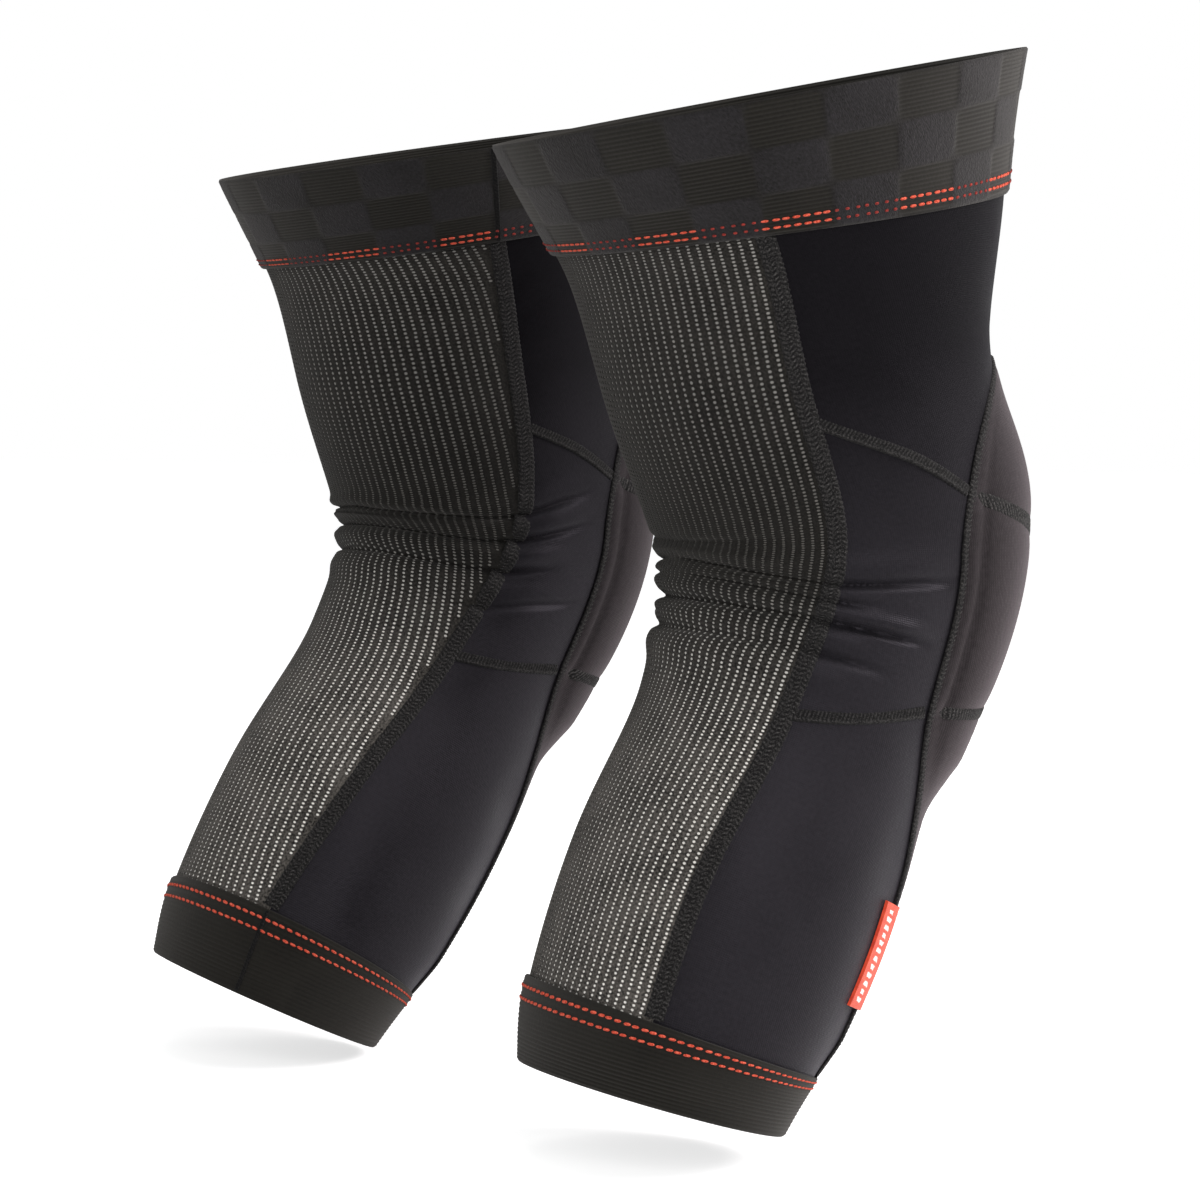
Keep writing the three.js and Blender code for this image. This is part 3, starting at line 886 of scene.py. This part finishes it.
def grippers(guard):
    """Beaded silicone bands inside the cuffs."""
    for name, *span in (
        ("thigh_gripper", PANEL_TOP + 6, THIGH_RIM - 12),
        ("calf_gripper", CALF_HEM + 8, PANEL_BOTTOM - 3),
    ):
        height, turn = cuff_grid(*span, 240, 1.2)
        beads = 0.35 * (np.sin(np.radians(turn) * 60) * np.sin(height * 2 * np.pi / 5) > 0.2)
        inside = -1.0 - beads
        shell(guard, name, height, turn, inside, 0.1, SILICONE, "silicone", ring=True, span=span)


# ---- stitches

STITCH_GRID = 7, 8  # rings along a stitch, and points around it
THIGH_STITCHES, CALF_STITCHES = 148, 104  # around each cuff


def capsules(guard, name, height, turn, lift, length, thick, material, node, span, lean=0.0):
    """A row of short rounded stitches lying around the leg, one for each height, turn and lift."""
    height, turn, lift = np.broadcast_arrays(*(np.asarray(v, float) for v in (height, turn, lift)))
    rings, sides = STITCH_GRID
    s = np.linspace(-1, 1, rings)
    girth = np.sqrt(np.maximum(1 - np.abs(s) ** 4, 0.02))
    angle = np.linspace(0, 2 * np.pi, sides, endpoint=False)
    around = length / 2 * s[None, :, None] + 0 * angle
    upward = thick / 2 * girth[None, :, None] * np.cos(angle) + lean * s[None, :, None]
    outward = 0.42 * thick * girth[None, :, None] * np.sin(angle)
    at_height = height[:, None, None] + upward
    at_turn = turn[:, None, None] + np.degrees(around / radius_at(height)[:, None, None])
    at_lift = lift[:, None, None] + outward
    points = guard.surface(at_height, at_turn, at_lift).reshape(-1, 3)
    # the outward half of each stitch is marked for the thread's painted highlight
    mark = np.clip(np.broadcast_to(0.5 + 0.5 * np.sin(angle), at_height.shape), 0, 1)
    cloth = cloth_coordinates(at_height, at_turn, mark).reshape(-1, 3)
    one = np.arange(rings * sides).reshape(rings, sides)
    wrapped = np.concatenate([one, one[:, :1]], 1)
    body = quads_between(wrapped[:-1, :-1], wrapped[:-1, 1:], wrapped[1:, 1:], wrapped[1:, :-1])
    quads = (body[None] + rings * sides * np.arange(len(height))[:, None, None]).reshape(-1, 4)
    add_piece(guard, name, points, quads, cloth, material, "seam_thread", node, span, sharp=80)


def cuff_stitches(guard):
    """Two rows on each cuff. On the thigh cuff they stand proud on the ribs and sink into the plush, where
    a darker red paints their shade.
    """
    turn = np.arange(THIGH_STITCHES) / THIGH_STITCHES * 360
    for level_name, height in (("lower", THIGH_CUFF_BOTTOM + 2.9), ("upper", THIGH_CUFF_BOTTOM + 5.7)):
        here = turn + relief_noise(THIGH_STITCHES, 11 + int(height), 0.25)
        sunk = checker(height, here) > 0.5
        waves = cuff_waves(height, here)
        for state, chosen, lift, material, length in (
            ("bright", ~sunk, 1.8, RED_THREAD, 2.7),
            # painted shade: the sunk stitches take the darker red thread
            ("sunk", sunk, 1.9, DARK_RED_THREAD, 1.5),
        ):
            capsules(
                guard, f"thigh_stitches_{level_name}_{state}", guard.on_thigh_cuff(height, here[chosen]),
                here[chosen], lift + waves[chosen], length, 1.0, material, "thigh_cuff", THIGH_CUFF,
            )
    turn = np.arange(CALF_STITCHES) / CALF_STITCHES * 360
    for level_name, height in (("lower", CALF_CUFF_TOP - 5.9), ("upper", CALF_CUFF_TOP - 2.7)):
        here = turn + relief_noise(CALF_STITCHES, 31 + int(-height), 0.3)
        capsules(
            guard, f"calf_stitches_{level_name}", guard.on_calf_cuff(height, here), here, 1.9, 2.6, 0.85,
            RED_THREAD, "calf_cuff", CALF_CUFF, lean=0.12,
        )


# ---- seams

SEAM_STEP = 0.42  # mm between cross sections
WIDE_SEAM, FLAT_SEAM, JOIN_SEAM = 7.0, 4.5, 2.2  # widths


def seam_profile(u):
    """A flat top with rounded edges."""
    return np.sqrt(np.maximum(1 - np.abs(u) ** 5, 0))


def ribbon(guard, name, path, width, base, thick, relief, mark_share=1.0, **ties):
    """A sewn seam along a path that gives height and turn for a share of its length."""
    share = np.linspace(0, 1, 400)
    height, turn = path(share)
    line = guard.surface(height, turn, base)
    run = np.concatenate([[0], np.cumsum(np.linalg.norm(np.diff(line, axis=0), axis=1))]) / MM
    steps = max(8, round(run[-1] / SEAM_STEP))
    distance = np.linspace(0, run[-1], steps + 1)
    share = np.interp(distance, run, share)
    height, turn = path(share)
    line = guard.surface(height, turn, base)
    _, out = guard.section(height, turn)
    ahead = np.gradient(line, axis=0)
    sideways = np.cross(ahead, out)
    sideways /= np.linalg.norm(sideways, axis=1)[:, None]
    columns = max(6, round(width / 0.5))
    u = np.linspace(-1, 1, columns + 1)[None, :]
    s = distance[:, None]
    pattern = relief(u, s)
    rise = thick * seam_profile(u) * (0.4 + 0.6 * pattern) + relief_noise(pattern.shape, len(name), 0.04)
    # the thread's turns draw the edges in and out
    wander = 1 + 0.05 * np.sin(s * 2 * np.pi / 1.9) + relief_noise(s.shape, 5 + len(name), 0.03)
    spot = line[:, None, :] + MM * (u * width / 2 * wander)[..., None] * sideways[:, None, :]
    outer = spot + MM * rise[..., None] * out[:, None, :]
    inner = spot - 0.25 * MM * out[:, None, :]
    points = layers(inner, outer)
    around = np.broadcast_to(u * width / 2, pattern.shape)
    # loop crests and the rolled edge are marked for the thread's painted highlight
    mark = mark_share * np.clip(pattern, 0, 1) ** 2
    cloth = lined(np.stack([around, np.broadcast_to(s, pattern.shape), mark], -1))
    quads = shell_quads(*pattern.shape)
    # along a path the rows run with the seam, so the winding follows the side it runs on
    if np.dot(np.cross(sideways[0], ahead[0]), out[0]) * guard.side < 0:
        quads = quads[:, ::-1]
    add_piece(guard, name, points, quads, cloth, BLACK_THREAD, "seam_thread", sharp=85, **ties)


def herringbone(u, s):
    """Three rows of slanted loops of a wide flat seam."""
    slant = np.abs((u * 1.5 + 0.5) % 2 - 1)
    return 0.5 + 0.5 * np.sin(2 * np.pi * (s / 1.75 + 0.8 * slant)) * np.cos(1.5 * np.pi * u) ** 2


def overlock(u, s):
    """One row of close slanted loops beside a rolled edge."""
    loops = 0.5 + 0.5 * np.sin(2 * np.pi * (s / 1.45 + 0.55 * u))
    roll = np.exp(-(((u - 0.62) / 0.22) ** 2))
    return np.clip(loops * (u < 0.4) * np.cos(0.9 * (u + 0.3)) + 1.1 * roll, 0, 1.2)


def side_seams(guard):
    """The seams beside the mesh, around the pad cover, and across both flanks."""
    bottom, top = CALF_CUFF_TOP + 1, THIGH_CUFF_BOTTOM + 1
    top_turn = float(front_seam(ARCH_TOP - 1.5))
    arch_end = math.asin((ARCH_TOP - 1.5) / ARCH_REACH)
    for flank, way in (("outer", 1), ("inner", -1)):
        def behind(share, way=way):
            height = bottom + (top - bottom) * share
            return height, way * BACK_SEAM[way](height)

        ribbon(guard, "back_seam_" + flank, behind, WIDE_SEAM, 0.1, 0.95, herringbone)

        def front(share, way=way):
            # up the calf, around the arch, and over its top to the middle
            height = np.interp(share, (0, 0.55), (bottom, 0))
            around_arch = np.clip((share - 0.55) / 0.35, 0, 1)
            height = np.where(share < 0.55, height, ARCH_REACH * np.sin(arch_end * around_arch))
            over_top = np.interp(share, (0.9, 1), (top_turn, 180))
            return height, way * np.where(share < 0.9, front_seam(height), over_top)

        ribbon(guard, "front_seam_" + flank, front, FLAT_SEAM, 0.55, 1.0, herringbone)

        for part, line, reach in (("diagonal_seam_", knee_seam, 113), ("lower_seam_", lower_seam, 116)):
            def across(share, way=way, line=line, reach=reach):
                start = BACK_SEAM[way](line(60)) + 2.0
                turn = start + (reach - start) * share
                return line(turn), way * turn

            ribbon(guard, part + flank, across, FLAT_SEAM, 0.1, 0.75, overlock, mark_share=0.5)


def cuff_joins(guard):
    """The upright joins of the two cuffs, each in line with the inner back seam where the panels end."""
    for cuff, span, panel_end, place in (
        ("thigh_cuff", THIGH_CUFF, THIGH_CUFF_BOTTOM, guard.on_thigh_cuff),
        ("calf_cuff", CALF_CUFF, CALF_CUFF_TOP, guard.on_calf_cuff),
    ):
        def upright(share, span=span, panel_end=panel_end, place=place):
            height = np.interp(share, (0, 1), (span[0] + 0.6, span[1] - 0.6))
            turn = inner_seam(panel_end) + 0 * share
            return place(height, turn), turn

        ribbon(
            guard, cuff + "_join", upright, JOIN_SEAM, 1.5, 0.75, overlock, mark_share=0.2,
            node=cuff, span=span,
        )


def cover_seams(guard):
    """The two seams that cross the pad covers and ride over the pads."""
    for name, line, reach in (("knee_seam", knee_seam, 64), ("shin_seam", lower_seam, 57)):
        share = np.linspace(-1, 1, round(2.3 * 2 * reach) + 1)[:, None]
        u = np.linspace(-1, 1, 10)[None, :]
        turn = 180 + reach * share + 0 * u
        height = line(folded(turn)) + u * FLAT_SEAM / 2
        s = np.radians(turn) * radius_at(height)
        pattern = 0.5 + 0.5 * np.sin(2 * np.pi * (s / 1.6 + 0.25 * u))
        ends = smoothstep(1 - np.abs(share), 0.0, 0.06)
        outside = 1.0 + pad_rise(height, turn) + ends * (0.25 + seam_profile(u) * (0.35 + 0.45 * pattern))
        inside = 0.7 + pad_rise(height, turn) + 0 * s
        points = layers(guard.surface(height, turn, inside), guard.surface(height, turn, outside))
        # loop crests are marked for the thread's painted highlight
        cloth = lined(np.stack(np.broadcast_arrays(u * FLAT_SEAM / 2, s, pattern**2), -1))
        quads = shell_quads(*turn.shape)[:, ::-1]
        add_piece(guard, name, points, quads, cloth, BLACK_THREAD, "seam_thread", sharp=85)


# ---- label

LABEL_SPAN = (-148.0, -110.0)
LABEL_WIDTH, LABEL_REACH = 9.3, 11.5  # degrees: its width, and its free edge's distance from the seam
LABEL_GRID = 160, 40


def label(guard):
    """A folded woven tab held by the front seam, with plain slanted bars."""
    low, high = LABEL_SPAN
    along, across = shares(*LABEL_GRID)
    height = low + (high - low) * along + 0 * across
    turn = front_seam(height) - LABEL_REACH + LABEL_WIDTH * across
    # bars lean, fill the middle of the tab, and leave its ends free
    stroke = (along * 13 + 0.4 * across) % 1
    tall = 0.2 - 0.07 * np.sin(along * 29) ** 2
    bars = (stroke < 0.55) & (np.abs(across - 0.46) < tall) & (np.abs(along - 0.5) < 0.44)
    lift = 1.5 + 1.3 * across
    mark = bars.astype(float)
    shell(guard, "label_tab", height, turn, lift - 1.2, lift, LABEL, "label", mark=mark, span=LABEL_SPAN)
    spots = np.arange(low + 1, high, 2.3)
    capsules(
        guard, "label_stitches", spots, front_seam(spots) - 1.0, 2.2, 1.8, 0.8, DARK_RED_THREAD,
        "label_tab", LABEL_SPAN,
    )


for guard in GUARDS:
    body_panels(guard)
    mesh_back(guard)
    pad_covers(guard)
    pads(guard)
    pocket_lining(guard)
    cuffs(guard)
    grippers(guard)
    cuff_stitches(guard)
    side_seams(guard)
    cuff_joins(guard)
    cover_seams(guard)
    label(guard)

# ---- studio

FLOOR_SIZE = 30  # m
FILL = 0.42  # how bright the white surroundings are for the object
FLOOR_GLOW = 0.62  # lifts the far floor to the same white as the background
LIGHTS = (
    ("key_from_the_front", (-1.25, -1.5, 1.3), (-0.05, -0.02, 0.2), 0.9, 36, (1.0, 0.96, 0.97)),
    ("side_soft", (-1.7, 0.35, 0.75), (-0.1, 0, 0.12), 0.8, 11, (1.0, 0.99, 0.98)),
    ("fill_from_behind", (-0.4, 1.9, 1.1), (0, 0, 0.22), 1.4, 5, (0.96, 0.98, 1.0)),
    ("soft_top", (-0.5, -0.1, 2.2), (0, 0, 0.2), 1.6, 14, (1, 1, 1)),
)


def studio():
    bpy.ops.mesh.primitive_plane_add(size=FLOOR_SIZE, location=(0, 0, 0))
    floor = bpy.context.object
    floor.name = "studio_floor"
    paper = bpy.data.materials.new("paper")
    paper.use_nodes = True
    surface = paper.node_tree.nodes["Principled BSDF"]
    surface.inputs["Base Color"].default_value = (0.93, 0.93, 0.93, 1)
    surface.inputs["Roughness"].default_value = 0.9
    surface.inputs["Specular IOR Level"].default_value = 0.1
    surface.inputs["Emission Color"].default_value = (1, 1, 1, 1)
    seen = paper.node_tree.nodes.new("ShaderNodeLightPath").outputs["Is Camera Ray"]
    glow = paper.node_tree.nodes.new("ShaderNodeMath")
    glow.operation = "MULTIPLY"
    glow.inputs[1].default_value = FLOOR_GLOW
    paper.node_tree.links.new(seen, glow.inputs[0])
    paper.node_tree.links.new(glow.outputs[0], surface.inputs["Emission Strength"])
    floor.data.materials.append(paper)

    world = bpy.data.worlds.new("studio")
    bpy.context.scene.world = world
    world.use_nodes = True
    nodes, links = world.node_tree.nodes, world.node_tree.links
    background = nodes["Background"]
    background.inputs["Color"].default_value = (1, 1, 1, 1)
    path = nodes.new("ShaderNodeLightPath")
    strength = nodes.new("ShaderNodeMapRange")
    strength.inputs["To Min"].default_value = FILL
    strength.inputs["To Max"].default_value = 1.0
    links.new(path.outputs["Is Camera Ray"], strength.inputs["Value"])
    links.new(strength.outputs[0], background.inputs["Strength"])

    for name, place, aim, size, power, colour in LIGHTS:
        data = bpy.data.lights.new(name, "AREA")
        data.size, data.energy, data.color = size, power, colour
        lamp = bpy.data.objects.new(name, data)
        lamp.location = place
        lamp.rotation_mode = "QUATERNION"
        lamp.rotation_quaternion = (Vector(aim) - Vector(place)).to_track_quat("-Z", "Y")
        bpy.context.scene.collection.objects.link(lamp)


CAMERA_PLACE = (-1.2097, 0.701, 0.2707)
CAMERA_TURN = (4.176, 0.052, 0.021)  # yaw, pitch down and roll in radians
SENSOR, LENS = 36, 105.8  # mm


def camera():
    """Stands behind and outside the right guard, a little above knee height, looking slightly down."""
    yaw, pitch, roll = CAMERA_TURN
    data = bpy.data.cameras.new("camera")
    data.sensor_width, data.lens = SENSOR, LENS
    data.clip_start, data.clip_end = 0.05, 50
    ahead = Vector((-math.sin(yaw) * math.cos(pitch), math.cos(yaw) * math.cos(pitch), -math.sin(pitch)))
    right = ahead.cross(Vector((0, 0, 1))).normalized()
    up = right.cross(ahead)
    right, up = right * math.cos(roll) + up * math.sin(roll), up * math.cos(roll) - right * math.sin(roll)
    turned = Matrix((right, up, -ahead)).transposed().to_4x4()
    shot = bpy.data.objects.new("camera", data)
    shot.matrix_world = Matrix.Translation(CAMERA_PLACE) @ turned
    bpy.context.scene.collection.objects.link(shot)
    bpy.context.scene.camera = shot


studio()
camera()
bpy.context.scene.view_settings.view_transform = "Standard"
